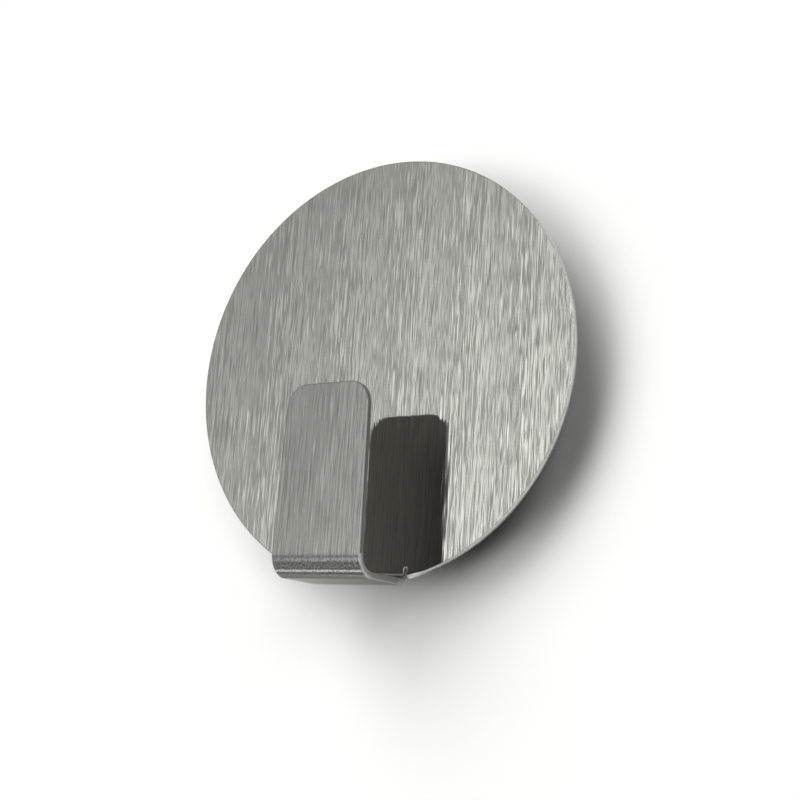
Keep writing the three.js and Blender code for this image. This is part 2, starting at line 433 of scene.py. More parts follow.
def speckle_group():
    """Fine moulded grain with slow patches, for plastic, rubber, foam and plating."""
    name = "Moulded Grain"
    if name in bpy.data.node_groups:
        return bpy.data.node_groups[name]
    tree, given, made = new_group(
        "ShaderNodeTree", name,
        [("Place", "NodeSocketVector", None), ("Grain size", "NodeSocketFloat", 0.2 * MM),
         ("Patch size", "NodeSocketFloat", 6.0 * MM)],
        [("Grain", "NodeSocketFloat"), ("Patches", "NodeSocketFloat")])
    for label, size, detail in (("Grain", "Grain size", 3.0), ("Patches", "Patch size", 2.0)):
        scaled = tree.nodes.new("ShaderNodeVectorMath")
        scaled.operation = "SCALE"
        tree.links.new(given.outputs["Place"], scaled.inputs[0])
        tree.links.new(calc(tree, "DIVIDE", 1.0, given.outputs[size]), scaled.inputs["Scale"])
        speckle = noise(tree, scaled.outputs["Vector"], 1.0, detail, roughness=0.55)
        tree.links.new(speckle, made.inputs[label])
    return tree


# Materials

def brush_lines(tree, place, density, reach):
    """Brush lines, so many to a millimetre and each so many millimetres long."""
    return place_group(tree, brush_group(), Place=place, Lines_per_mm=density, Line_length=reach).outputs[0]


def past_fold(tree, fold_end):
    """1 on the tongue past its rear fold, and 0 on the disc and the fold."""
    return calc(tree, "LESS_THAN", parted(tree, sheet_place(tree))["Y"], fold_end)


def brushed_steel(settings, fold_end):
    """Brushed face of the sheet: fine lines that follow the sheet round its folds, matt inside the hook, with
    painted shade on the rear face.
    """
    peel_per_mm = 4.0
    darkest, lightest = 0.4, 1.6
    line_low, line_high, line_gloss = 0.35, 0.65, 0.01

    material, tree, shader = new_material("brushed_steel")
    place = sheet_place(tree)
    long_lines = brush_lines(tree, place, settings.long_density, settings.long_length)
    short_lines = brush_lines(tree, place, settings.short_density, settings.short_length)
    fold = attribute(tree, FOLD_ATTRIBUTE)
    rear = attribute(tree, SIDE_ATTRIBUTE)
    peel = noise(tree, place, peel_per_mm / MM, roughness=0.6)
    inside = calc(tree, "MULTIPLY", past_fold(tree, fold_end), calc(tree, "SUBTRACT", 1.0, rear))

    lines = calc(tree, "SUBTRACT", calc(tree, "ADD", long_lines, short_lines), 1.0)
    lines = calc(tree, "MULTIPLY", lines, remap(tree, fold, 0.0, 1.0, 1.0, settings.fold_lines))
    speckled = calc(tree, "MULTIPLY", fold, settings.fold_specks)
    specks = calc(tree, "MULTIPLY", calc(tree, "SUBTRACT", peel, 0.5), speckled)
    level = calc(tree, "ADD", calc(tree, "MULTIPLY_ADD", lines, settings.line_contrast, specks), 0.5)
    steel = Vector(settings.steel)
    tone = mixed_colour(tree, level, steel * darkest, steel * lightest)
    # Painted shade: the whole rear face, which is the tab's front and the fold's underside, is darkened; part
    # of this is a duller finish
    dull = mixed_colour(tree, rear, (1.0, 1.0, 1.0), (settings.rear_dullness_and_shade,) * 3)
    tone = mixed_colour(tree, 1.0, tone, dull, "MULTIPLY")
    tone = mixed_colour(tree, inside, tone, Vector(settings.inner_steel))
    tree.links.new(tone, shader.inputs["Base Color"])

    base = settings.roughness
    worn = remap(tree, long_lines, line_low, line_high, base + line_gloss, base - line_gloss)
    rear_matt = calc(tree, "MULTIPLY", rear, settings.rear_matt)
    matt = calc(tree, "MULTIPLY_ADD", inside, settings.inner_matt, rear_matt)
    stretched = calc(tree, "MULTIPLY", fold, from_noise(tree, peel, 0.0, settings.fold_matt))
    gloss = calc(tree, "ADD", worn, calc(tree, "ADD", matt, stretched))
    tree.links.new(gloss, shader.inputs["Roughness"])

    lean = leaning(tree, calc(tree, "MULTIPLY", lines, settings.line_slope), SHEET_UV)
    skin = bump(tree, calc(tree, "MULTIPLY", peel, fold), settings.peel_depth, lean)
    tree.links.new(skin, shader.inputs["Normal"])
    tangent = tree.nodes.new("ShaderNodeTangent")
    tangent.direction_type = "UV_MAP"
    tangent.uv_map = SHEET_UV
    tree.links.new(tangent.outputs["Tangent"], shader.inputs["Tangent"])
    shader.inputs["Metallic"].default_value = 1.0
    shader.inputs["Anisotropic"].default_value = settings.anisotropy
    shader.inputs["Specular Tint"].default_value = (*settings.glancing, 1.0)
    return material


def cut_steel(settings, fold_end):
    """Stamped edge of the sheet: a bright band with fine marks across the thickness, with painted shade on
    the tongue.
    """
    marks_per_mm = 2.2
    mark_stretch = (1.0, 0.12, 1.0)
    mark_depth = 0.004 * MM
    # tongue: painted shade, the share of the colour left on the tongue's cut edges
    darkest, lightest, tongue = 0.82, 1.1, 0.7
    smoothest, roughest = 0.09, 0.14

    material, tree, shader = new_material("cut_steel")
    place = object_place(tree)
    marks = noise(tree, place, marks_per_mm / MM, detail=3.0, roughness=0.6, stretch=mark_stretch)
    steel = Vector(settings.edge_steel)
    tone = mixed_colour(tree, from_noise(tree, marks, 0.0, 1.0), steel * darkest, steel * lightest)
    # Painted shade: the tongue's cut edges are darkened to 0.7 of the rim's colour
    tone = mixed_colour(tree, past_fold(tree, fold_end), tone, steel * tongue)
    tree.links.new(tone, shader.inputs["Base Color"])
    tree.links.new(from_noise(tree, marks, smoothest, roughest), shader.inputs["Roughness"])
    tree.links.new(bump(tree, marks, mark_depth), shader.inputs["Normal"])
    shader.inputs["Metallic"].default_value = 1.0
    return material


def moulded(name, tone, grain_size, grain_depth, roughness, variation=0.25):
    """A dull moulded surface with a fine grain and slow patches in colour and gloss."""
    gloss_spread = 0.08
    material, tree, shader = new_material(name)
    grain = place_group(tree, speckle_group(), Place=object_place(tree), Grain_size=grain_size)
    tone = Vector(tone)
    amount = from_noise(tree, grain.outputs["Patches"], 0.0, 1.0)
    shade = mixed_colour(tree, amount, tone * (1.0 - variation), tone * (1.0 + variation))
    tree.links.new(shade, shader.inputs["Base Color"])
    roughest = min(roughness + gloss_spread, 1.0)
    gloss = from_noise(tree, grain.outputs["Grain"], roughness - gloss_spread, roughest)
    tree.links.new(gloss, shader.inputs["Roughness"])
    tree.links.new(bump(tree, grain.outputs["Grain"], grain_depth), shader.inputs["Normal"])
    return material


def nickel_plate(settings):
    """Nickel plating with faint handling marks."""
    darkest, lightest = 0.9, 1.08
    smoothest, roughest = 0.14, 0.26
    material, tree, shader = new_material("nickel_plate")
    place = object_place(tree)
    marks = place_group(tree, speckle_group(), Place=place, Grain_size=0.5 * MM, Patch_size=4.0 * MM)
    tone = Vector(settings.nickel)
    amount = from_noise(tree, marks.outputs["Patches"], 0.0, 1.0)
    tree.links.new(mixed_colour(tree, amount, tone * darkest, tone * lightest), shader.inputs["Base Color"])
    gloss = from_noise(tree, marks.outputs["Grain"], smoothest, roughest)
    tree.links.new(gloss, shader.inputs["Roughness"])
    shader.inputs["Metallic"].default_value = 1.0
    return material


# Mesh helpers

def add_object(name, data):
    """A new object at the origin, linked to the scene."""
    item = bpy.data.objects.new(name, data)
    bpy.context.scene.collection.objects.link(item)
    return item


def add_shape(name, shape):
    """Turns a bmesh into a new object, and frees it."""
    mesh = bpy.data.meshes.new(name)
    shape.to_mesh(mesh)
    shape.free()
    return add_object(name, mesh)


def settle(item):
    """Turns an object's modifiers into its own plain mesh."""
    graph = bpy.context.evaluated_depsgraph_get()
    graph.update()
    evaluated = item.evaluated_get(graph)
    made = bpy.data.meshes.new_from_object(evaluated, preserve_all_data_layers=True, depsgraph=graph)
    made.name = item.name
    item.modifiers.clear()
    item.data = made


def dress(item, slot, *nodes):
    """Makes a finished piece stand for its CAD nodes and move with their body."""
    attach(item, BODY)
    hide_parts(*nodes)


def turned(name, profile, steps):
    """A closed solid turned about the Y axis, from (radius, y) pairs that start and end on the axis."""
    shape = bmesh.new()
    first = shape.verts.new((0.0, profile[0][1], 0.0))
    last = shape.verts.new((0.0, profile[-1][1], 0.0))
    turns = [FULL_TURN * step / steps for step in range(steps)]
    rings = [[shape.verts.new((radius * math.cos(turn), y, radius * math.sin(turn))) for turn in turns]
             for radius, y in profile[1:-1]]
    for step in range(steps):
        after = (step + 1) % steps
        shape.faces.new((first, rings[0][step], rings[0][after]))
        for low, high in zip(rings, rings[1:]):
            shape.faces.new((low[step], high[step], high[after], low[after]))
        shape.faces.new((rings[-1][step], last, rings[-1][after]))
    bmesh.ops.recalc_face_normals(shape, faces=shape.faces)
    for face in shape.faces:
        face.smooth = True
    return add_shape(name, shape)


def plain_disc(low, high, radius):
    """Profile of a plain disc between two levels, for turning."""
    return [(0.0, low), (radius, low), (radius, high), (0.0, high)]


def soften(item, width, steps):
    """Rounds an object's sharp edges and keeps its flat faces flat."""
    modifier = item.modifiers.new("Soft edges", "BEVEL")
    modifier.width = width
    modifier.segments = steps
    modifier.limit_method = "ANGLE"
    modifier.angle_limit = SHARP_EDGE
    modifier.use_clamp_overlap = False
    modifier.harden_normals = True


def add_tree(item, tree, **values):
    """Puts a Geometry Nodes tree on an object, with its inputs set by name (spaces as underscores)."""
    modifier = item.modifiers.new(tree.name, "NODES")
    modifier.node_group = tree
    sockets = {socket.name: socket.identifier for socket in tree.interface.items_tree
               if socket.in_out == "INPUT"}
    for label, value in values.items():
        modifier[sockets[label.replace("_", " ")]] = value


def finish_tree(tree, geometry, materials, made):
    """Ends a Geometry Nodes tree: real geometry, smooth faces, and a material on each selection of faces."""
    real = tree.nodes.new("GeometryNodeRealizeInstances")
    tree.links.new(geometry, real.inputs[0])
    smooth = tree.nodes.new("GeometryNodeSetShadeSmooth")
    tree.links.new(real.outputs[0], smooth.inputs["Geometry"])
    geometry = smooth.outputs[0]
    for material, selection in materials:
        node = tree.nodes.new("GeometryNodeSetMaterial")
        tree.links.new(geometry, node.inputs["Geometry"])
        tree.links.new(material, node.inputs["Material"])
        if selection is not None:
            tree.links.new(selection, node.inputs["Selection"])
        geometry = node.outputs[0]
    tree.links.new(geometry, made.inputs[0])


# Folded steel plate

class PlateForm:
    """The plate's sizes, from the settings and the frame. The flat blank lies in x and z."""

    def __init__(self, settings):
        self.settings = settings
        self.radius = (PLATE_HIGH.x - PLATE_LOW.x) / 2.0
        self.front = TAPE_LOW.y - settings.sheet
        self.half = settings.base_width / 2.0
        saddle = PLATE_LOW.z + settings.sheet
        self.root = saddle + settings.rear_fold
        throat = self.front - (PLATE_LOW.y + settings.sheet)
        self.saddle_run = throat - settings.rear_fold - settings.front_fold
        self.tab_run = settings.rise - settings.sheet - settings.front_fold
        self.front_angle = QUARTER_TURN + settings.lean
        self.rear_arc = (settings.rear_fold + settings.sheet / 2.0) * QUARTER_TURN
        self.front_arc = (settings.front_fold + settings.sheet / 2.0) * self.front_angle
        self.fold_end = self.root - self.rear_arc
        self.tab_start = self.rear_arc + self.saddle_run + self.front_arc

    def tongue_rows(self):
        """Steps down the tongue through its two folds, as distances past the root."""
        steps = self.settings.fold_steps
        bend = self.rear_arc + self.saddle_run
        rear = [self.rear_arc * i / steps for i in range(1, steps + 1)]
        front = [bend + self.front_arc * i / steps for i in range(steps + 1)]
        return rear + front

    def tab_side(self):
        """One side of the flat tab round its corner to its tip, as (distance past the root, half width)."""
        steps = self.settings.fold_steps
        tip = self.settings.tip_width / 2.0
        slant = math.atan2(self.half - tip, self.tab_run)
        radius = self.settings.corner_radius
        corner_x = tip - radius * (1.0 - math.sin(slant)) / math.cos(slant)
        points = []
        for i in range(steps + 1):
            turn = slant + (QUARTER_TURN - slant) * i / steps
            height = self.tab_run - radius + radius * math.sin(turn)
            points.append((self.tab_start + height, corner_x + radius * math.cos(turn)))
        return points

    def slot_end(self, left):
        """The round end of a relief slot, from the side at its left to the side at its right."""
        radius = self.settings.relief_width / 2.0
        level = self.root + self.settings.relief_reach
        steps = self.settings.fold_steps
        turns = [math.pi * i / steps for i in range(steps + 1)]
        return [(left + radius - radius * math.cos(turn), level + radius * math.sin(turn)) for turn in turns]

    def disc_outline(self):
        """Outline of the disc from the right slot round the top to the left slot, and back along the root."""
        steps = self.settings.round_steps
        outer = self.half + self.settings.relief_width
        slot_turn = math.asin(outer / self.radius)
        start = slot_turn - QUARTER_TURN
        sweep = FULL_TURN - 2.0 * slot_turn
        points = []
        for i in range(steps + 1):
            turn = start + sweep * i / steps
            points.append((self.radius * math.cos(turn), self.radius * math.sin(turn)))
        points += self.slot_end(-outer)
        points += [(-self.half, self.root), (self.half, self.root)]
        points += self.slot_end(self.half)
        return points


def plate_blank(form):
    """The flat blank, one sheet without thickness: the disc, the folds below it in rows, and the tab."""
    shape = bmesh.new()
    outline = form.disc_outline()
    corners = [shape.verts.new((x, 0.0, z)) for x, z in outline]
    shape.faces.new(corners)
    root = outline.index((-form.half, form.root))
    left, right = corners[root], corners[root + 1]
    for distance in form.tongue_rows():
        next_left = shape.verts.new((-form.half, 0.0, form.root - distance))
        next_right = shape.verts.new((form.half, 0.0, form.root - distance))
        shape.faces.new((left, next_left, next_right, right))
        left, right = next_left, next_right
    side = form.tab_side()
    left_side = [shape.verts.new((-half, 0.0, form.root - distance)) for distance, half in side]
    right_side = [shape.verts.new((half, 0.0, form.root - distance)) for distance, half in side]
    shape.faces.new((left, *left_side, *reversed(right_side), right))
    return add_shape("hook_plate_sheet", shape)


def fold_tree():
    """Folds a flat blank at its root, along a saddle and up into a tab. The flat place stays as a UV map."""
    lengths = ("Root height", "Plate front", "Sheet", "Rear fold", "Saddle run", "Front fold", "Rear arc",
               "Front arc", "Front angle")
    tree, given, made = new_group(
        "GeometryNodeTree", "Fold Sheet",
        [("Geometry", "NodeSocketGeometry", None)] + [(name, "NodeSocketFloat", 0.0) for name in lengths]
        + [("Face", "NodeSocketMaterial", None), ("Edge", "NodeSocketMaterial", None)],
        [("Geometry", "NodeSocketGeometry")])
    sizes = [given.outputs[name] for name in lengths]
    root, front, sheet, rear_fold, saddle_run, front_fold, rear_arc, front_arc, front_angle = sizes
    x, depth, height = parted(tree, tree.nodes.new("GeometryNodeInputPosition").outputs[0])
    past_root = calc(tree, "SUBTRACT", root, height)
    rear_share = clamped(tree, calc(tree, "DIVIDE", past_root, rear_arc), 0.0, 1.0)
    past_rear = calc(tree, "SUBTRACT", past_root, rear_arc)
    run = clamped(tree, past_rear, 0.0, saddle_run)
    past_saddle = calc(tree, "SUBTRACT", past_rear, saddle_run)
    front_share = clamped(tree, calc(tree, "DIVIDE", past_saddle, front_arc), 0.0, 1.0)
    climb = calc(tree, "MAXIMUM", calc(tree, "SUBTRACT", past_saddle, front_arc), 0.0)
    rear_turn = calc(tree, "MULTIPLY", rear_share, QUARTER_TURN)
    front_turn = calc(tree, "MULTIPLY", front_share, front_angle)
    rear_radius = calc(tree, "ADD", rear_fold, depth)
    front_radius = calc(tree, "ADD", front_fold, depth)

    y = calc(tree, "SUBTRACT", front, rear_fold)
    y = calc(tree, "ADD", y, calc(tree, "MULTIPLY", rear_radius, calc(tree, "COSINE", rear_turn)))
    y = calc(tree, "SUBTRACT", y, run)
    y = calc(tree, "SUBTRACT", y, calc(tree, "MULTIPLY", front_radius, calc(tree, "SINE", front_turn)))
    y = calc(tree, "SUBTRACT", y, calc(tree, "MULTIPLY", climb, calc(tree, "COSINE", front_angle)))
    z = calc(tree, "SUBTRACT", root, calc(tree, "MINIMUM", past_root, 0.0))
    z = calc(tree, "SUBTRACT", z, calc(tree, "MULTIPLY", rear_radius, calc(tree, "SINE", rear_turn)))
    lift = calc(tree, "SUBTRACT", 1.0, calc(tree, "COSINE", front_turn))
    z = calc(tree, "ADD", z, calc(tree, "MULTIPLY", front_radius, lift))
    z = calc(tree, "ADD", z, calc(tree, "MULTIPLY", climb, calc(tree, "SINE", front_angle)))

    flat = joined(tree, X=calc(tree, "MULTIPLY_ADD", depth, SKEW_ACROSS, x),
                  Y=calc(tree, "MULTIPLY_ADD", depth, SKEW_ALONG, height))
    # A share times what is left of it peaks at a quarter, so four times that is 1 in the middle of a fold
    bends = [calc(tree, "MULTIPLY", share, calc(tree, "SUBTRACT", 1.0, share))
             for share in (rear_share, front_share)]
    bend = calc(tree, "MULTIPLY", calc(tree, "ADD", *bends), 4.0)
    rear_side = calc(tree, "DIVIDE", depth, sheet)
    facing = parted(tree, tree.nodes.new("GeometryNodeInputNormal").outputs[0])["Y"]
    cut = calc(tree, "LESS_THAN", calc(tree, "ABSOLUTE", facing), FLAT_FACING)

    geometry = given.outputs["Geometry"]
    for name, kind, domain, value in ((SHEET_UV, "FLOAT2", "CORNER", flat),
                                      (FOLD_ATTRIBUTE, "FLOAT", "POINT", bend),
                                      (SIDE_ATTRIBUTE, "FLOAT", "POINT", rear_side),
                                      (CUT_ATTRIBUTE, "BOOLEAN", "FACE", cut)):
        store = tree.nodes.new("GeometryNodeStoreNamedAttribute")
        store.data_type = kind
        store.domain = domain
        store.inputs["Name"].default_value = name
        tree.links.new(geometry, store.inputs["Geometry"])
        tree.links.new(value, store.inputs["Value"])
        geometry = store.outputs["Geometry"]
    move = tree.nodes.new("GeometryNodeSetPosition")
    tree.links.new(geometry, move.inputs["Geometry"])
    tree.links.new(joined(tree, X=x, Y=y, Z=z), move.inputs["Position"])
    is_cut = tree.nodes.new("GeometryNodeInputNamedAttribute")
    is_cut.data_type = "BOOLEAN"
    is_cut.inputs["Name"].default_value = CUT_ATTRIBUTE
    finish_tree(tree, move.outputs["Geometry"],
                [(given.outputs["Face"], None), (given.outputs["Edge"], is_cut.outputs["Attribute"])], made)
    return tree


class AddPlate(bpy.types.Operator):
    """Stamp the steel blank, give it its thickness and fold the hook"""

    bl_idname = "magnetic_hook.add_plate"
    bl_label = "Folded Steel Plate"

    def execute(self, context):
        settings = context.scene.hook_plate
        form = PlateForm(settings)
        item = plate_blank(form)
        thickness = item.modifiers.new("Sheet thickness", "SOLIDIFY")
        thickness.thickness = settings.sheet
        thickness.offset = -1.0
        soften(item, settings.edge_radius, steps=3)
        add_tree(item, fold_tree(), Root_height=form.root, Plate_front=form.front, Sheet=settings.sheet,
                 Rear_fold=settings.rear_fold, Saddle_run=form.saddle_run, Front_fold=settings.front_fold,
                 Rear_arc=form.rear_arc, Front_arc=form.front_arc, Front_angle=form.front_angle,
                 Face=brushed_steel(settings, form.fold_end), Edge=cut_steel(settings, form.fold_end))
        item.modifiers.new("Flat faces", "WEIGHTED_NORMAL")
        settle(item)
        dress(item, "plate_steel", "hook_plate")
        return {"FINISHED"}


# Tape, tray, magnets and pad

class AddTape(bpy.types.Operator):
    """Cut the disc of foam tape between the plate and the tray"""

    bl_idname = "magnetic_hook.add_tape"
    bl_label = "Foam Tape"

    def execute(self, context):
        settings = context.scene.hook_backing
        radius = TAPE_HIGH.x
        drawn_in = radius - settings.tape_swell
        middle = (TAPE_LOW.y + TAPE_HIGH.y) / 2.0
        profile = [(0.0, TAPE_LOW.y), (drawn_in, TAPE_LOW.y), (radius, middle), (drawn_in, TAPE_HIGH.y),
                   (0.0, TAPE_HIGH.y)]
        item = turned("foam_tape_disc", profile, settings.round_steps)
        soften(item, settings.tape_edge, steps=3)
        settle(item)
        foam = moulded("tape_foam", settings.foam, grain_size=0.25 * MM, grain_depth=0.05 * MM,
                       roughness=0.85, variation=0.08)
        item.data.materials.append(foam)
        dress(item, "tape_foam", "foam_tape")
        return {"FINISHED"}


def place_on_ring(tree, shape, count, radius, phase, turn):
    """Copies of a shape round the Y axis, the first a part of a step past +X, turned outwards if asked."""
    points = tree.nodes.new("GeometryNodePoints")
    tree.links.new(count, points.inputs["Count"])
    index = tree.nodes.new("GeometryNodeInputIndex").outputs[0]
    step = calc(tree, "DIVIDE", FULL_TURN, count)
    bearing = calc(tree, "MULTIPLY", calc(tree, "ADD", index, phase), step)
    spot = joined(tree, X=calc(tree, "MULTIPLY", radius, calc(tree, "COSINE", bearing)),
                  Z=calc(tree, "MULTIPLY", radius, calc(tree, "SINE", bearing)))
    tree.links.new(spot, points.inputs["Position"])
    copies = tree.nodes.new("GeometryNodeInstanceOnPoints")
    tree.links.new(points.outputs[0], copies.inputs["Points"])
    tree.links.new(shape, copies.inputs["Instance"])
    if turn:
        facing = joined(tree, Y=calc(tree, "MULTIPLY", bearing, -1.0))
        tree.links.new(facing, copies.inputs["Rotation"])
    return copies.outputs[0]


def ring_wall(tree, inner, outer, low, high):
    """A closed ring wall about the Y axis, swept from a rectangle."""
    path = tree.nodes.new("GeometryNodeCurvePrimitiveCircle")
    path.inputs["Resolution"].default_value = SOCKET_STEPS
    tree.links.new(halfway(tree, inner, outer), path.inputs["Radius"])
    section = tree.nodes.new("GeometryNodeCurvePrimitiveQuadrilateral")
    tree.links.new(calc(tree, "SUBTRACT", outer, inner), section.inputs["Width"])
    tree.links.new(calc(tree, "SUBTRACT", high, low), section.inputs["Height"])
    sweep = tree.nodes.new("GeometryNodeCurveToMesh")
    tree.links.new(path.outputs[0], sweep.inputs["Curve"])
    tree.links.new(section.outputs[0], sweep.inputs["Profile Curve"])
    stand = tree.nodes.new("GeometryNodeTransform")
    stand.inputs["Rotation"].default_value = (QUARTER_TURN, 0.0, 0.0)
    tree.links.new(sweep.outputs[0], stand.inputs["Geometry"])
    tree.links.new(joined(tree, Y=halfway(tree, low, high)), stand.inputs["Translation"])
    return stand.outputs[0]


def rib_bar(tree, inner, outer, width, low, high):
    """A straight rib along the X axis, as long as the distance between two radii."""
    bar = tree.nodes.new("GeometryNodeMeshCube")
    size = joined(tree, X=calc(tree, "SUBTRACT", outer, inner), Y=calc(tree, "SUBTRACT", high, low), Z=width)
    tree.links.new(size, bar.inputs["Size"])
    level = tree.nodes.new("GeometryNodeTransform")
    tree.links.new(bar.outputs[0], level.inputs["Geometry"])
    tree.links.new(joined(tree, Y=halfway(tree, low, high)), level.inputs["Translation"])
    return level.outputs[0]


def tray_tree():
    """Adds the sockets, the ribs and the hub ring to the turned tray."""
    lengths = ("Floor level", "Top level", "Circle radius", "Pocket radius", "Socket radius", "Rib width",
               "Rib reach", "Hub inner", "Hub outer")
    tree, given, made = new_group(
        "GeometryNodeTree", "Tray Sockets",
        [("Geometry", "NodeSocketGeometry", None), ("Count", "NodeSocketInt", 6)]
        + [(name, "NodeSocketFloat", 0.0) for name in lengths] + [("Plastic", "NodeSocketMaterial", None)],
        [("Geometry", "NodeSocketGeometry")])
    sizes = [given.outputs[name] for name in lengths]
    floor, top, circle, pocket, socket, rib_width, rib_reach, hub_inner, hub_outer = sizes
    count = given.outputs["Count"]
    socket_wall = ring_wall(tree, pocket, socket, floor, top)
    sockets = place_on_ring(tree, socket_wall, count, circle, phase=SOCKET_PHASE, turn=False)
    hub = ring_wall(tree, hub_inner, hub_outer, floor, top)
    rib = rib_bar(tree, hub_inner, rib_reach, rib_width, floor, top)
    ribs = place_on_ring(tree, rib, count, halfway(tree, rib_reach, hub_outer), phase=RIB_PHASE, turn=True)
    join = tree.nodes.new("GeometryNodeJoinGeometry")
    for geometry in (given.outputs["Geometry"], sockets, hub, ribs):
        tree.links.new(geometry, join.inputs[0])
    finish_tree(tree, join.outputs[0], [(given.outputs["Plastic"], None)], made)
    return tree


class AddTray(bpy.types.Operator):
    """Mould the tray with its rim, sockets, ribs and hub"""

    bl_idname = "magnetic_hook.add_tray"
    bl_label = "Magnet Tray"

    def execute(self, context):
        settings = context.scene.hook_backing
        radius = TRAY_HIGH.x
        front, rear = TRAY_LOW.y, TRAY_HIGH.y
        floor = front + settings.floor
        top = PAD_LOW.y
        profile = [(0.0, front), (radius, front), (radius, rear), (radius - settings.lip, rear),
                   (radius - settings.lip, top), (radius - settings.rim, top), (radius - settings.rim, floor),
                   (0.0, floor)]
        item = turned("magnet_tray_shell", profile, settings.round_steps)
        soften(item, settings.tray_edge, steps=4)
        pocket = MAGNET_RADIUS + settings.socket_clearance
        plastic = moulded("tray_plastic", settings.plastic, grain_size=0.18 * MM, grain_depth=0.012 * MM,
                          roughness=0.5)
        add_tree(item, tray_tree(), Count=len(MAGNET_NODES), Floor_level=floor - settings.floor / 2.0,
                 Top_level=top, Circle_radius=MAGNET_CIRCLE, Pocket_radius=pocket,
                 Socket_radius=pocket + settings.socket_wall, Rib_width=settings.rib_width,
                 Rib_reach=radius - (settings.rim + settings.lip) / 2.0,
                 Hub_inner=settings.hub_radius - settings.socket_wall, Hub_outer=settings.hub_radius,
                 Plastic=plastic)
        settle(item)
        dress(item, "tray_plastic", "magnet_tray")
        return {"FINISHED"}


def magnet_tree():
    """Copies one magnet into each socket of the tray."""
    tree, given, made = new_group(
        "GeometryNodeTree", "Magnet Ring",
        [("Geometry", "NodeSocketGeometry", None), ("Count", "NodeSocketInt", 6),
         ("Circle radius", "NodeSocketFloat", 0.0), ("Nickel", "NodeSocketMaterial", None)],
        [("Geometry", "NodeSocketGeometry")])
    copies = place_on_ring(tree, given.outputs["Geometry"], given.outputs["Count"],
                           given.outputs["Circle radius"], phase=SOCKET_PHASE, turn=False)
    finish_tree(tree, copies, [(given.outputs["Nickel"], None)], made)
    return tree


class AddMagnets(bpy.types.Operator):
    """Turn one nickel-plated magnet and set a copy in each socket"""

    bl_idname = "magnetic_hook.add_magnets"
    bl_label = "Disc Magnets"

    def execute(self, context):
        settings = context.scene.hook_backing
        item = turned("disc_magnets", plain_disc(MAGNET_LOW.y, MAGNET_HIGH.y, MAGNET_RADIUS), MAGNET_STEPS)
        soften(item, settings.magnet_edge, steps=4)
        add_tree(item, magnet_tree(), Count=len(MAGNET_NODES), Circle_radius=MAGNET_CIRCLE,
                 Nickel=nickel_plate(settings))
        settle(item)
        dress(item, "magnet_nickel", *MAGNET_NODES)
        return {"FINISHED"}


class AddPad(bpy.types.Operator):
    """Cut the rubber grip pad that closes the tray"""

    bl_idname = "magnetic_hook.add_pad"
    bl_label = "Grip Pad"

    def execute(self, context):
        settings = context.scene.hook_backing
        profile = plain_disc(PAD_LOW.y, PAD_HIGH.y, PAD_HIGH.x)
        item = turned("grip_pad_disc", profile, settings.round_steps)
        soften(item, settings.pad_edge, steps=4)
        settle(item)
        rubber = moulded("pad_rubber", settings.rubber, grain_size=0.35 * MM, grain_depth=0.03 * MM,
                         roughness=0.72)
        item.data.materials.append(rubber)
        dress(item, "pad_rubber", "grip_pad")
        return {"FINISHED"}


# Stage

def aim(azimuth, elevation):
    """Unit vector from the disc's middle towards a bearing in front of it."""
    return Vector((math.sin(azimuth) * math.cos(elevation), -math.cos(azimuth) * math.cos(elevation),
                   math.sin(elevation)))


def aim_at(light):
    """Unit vector from the disc's middle towards a light."""
    return aim(math.radians(light.bearing), math.radians(light.height))


def add_camera(settings, target):
    """The photograph's camera: close, to the right of the disc and a little below it."""
    back = aim(settings.azimuth, settings.elevation)
    level = (-back).cross(Vector((0.0, 0.0, 1.0))).normalized()
    upright = level.cross(-back)
    right = level * math.cos(settings.roll) + upright * math.sin(settings.roll)
    up = upright * math.cos(settings.roll) - level * math.sin(settings.roll)
    data = bpy.data.cameras.new("camera")
    data.sensor_width = settings.sensor
    data.lens = settings.lens
    data.clip_start = 1.0 * MM
    camera = add_object("camera", data)
    spot = target + back * settings.distance + right * settings.step_right - up * settings.step_down
    turn = Matrix((right, up, back)).transposed().to_4x4()
    camera.matrix_world = Matrix.Translation(spot) @ turn
    bpy.context.scene.camera = camera


def add_sun(name, light):
    """A broad soft light, far enough away to reach the whole wall evenly."""
    data = bpy.data.lights.new(name, "SUN")
    data.angle = math.radians(light.spread)
    data.energy = light.strength
    lamp = add_object(name, data)
    lamp.rotation_euler = aim_at(light).to_track_quat("Z", "Y").to_euler()


def wall_material(settings):
    """Pale matt wall, seen from the front only, so that the hook's back can be looked at and is lit."""
    material, tree, shader = new_material("wall")
    shader.inputs["Roughness"].default_value = 0.9
    shader.inputs["Base Color"].default_value = (*settings.wall, 1.0)
    shader.inputs["Specular IOR Level"].default_value = 0.0
    clear = tree.nodes.new("ShaderNodeBsdfTransparent")
    path = tree.nodes.new("ShaderNodeLightPath")
    seen = calc(tree, "MAXIMUM", path.outputs["Is Camera Ray"], path.outputs["Is Transmission Ray"])
    seen = calc(tree, "MAXIMUM", seen, path.outputs["Is Glossy Ray"])
    behind = tree.nodes.new("ShaderNodeNewGeometry").outputs["Backfacing"]
    through = calc(tree, "GREATER_THAN", path.outputs["Transparent Depth"], 0.5)
    passed = calc(tree, "MAXIMUM", behind, through)
    shown = calc(tree, "MULTIPLY", seen, calc(tree, "SUBTRACT", 1.0, passed))
    mix = tree.nodes.new("ShaderNodeMixShader")
    tree.links.new(shown, mix.inputs["Fac"])
    tree.links.new(clear.outputs[0], mix.inputs[1])
    tree.links.new(shader.outputs[0], mix.inputs[2])
    tree.links.new(mix.outputs[0], tree.nodes["Material Output"].inputs["Surface"])
    return material


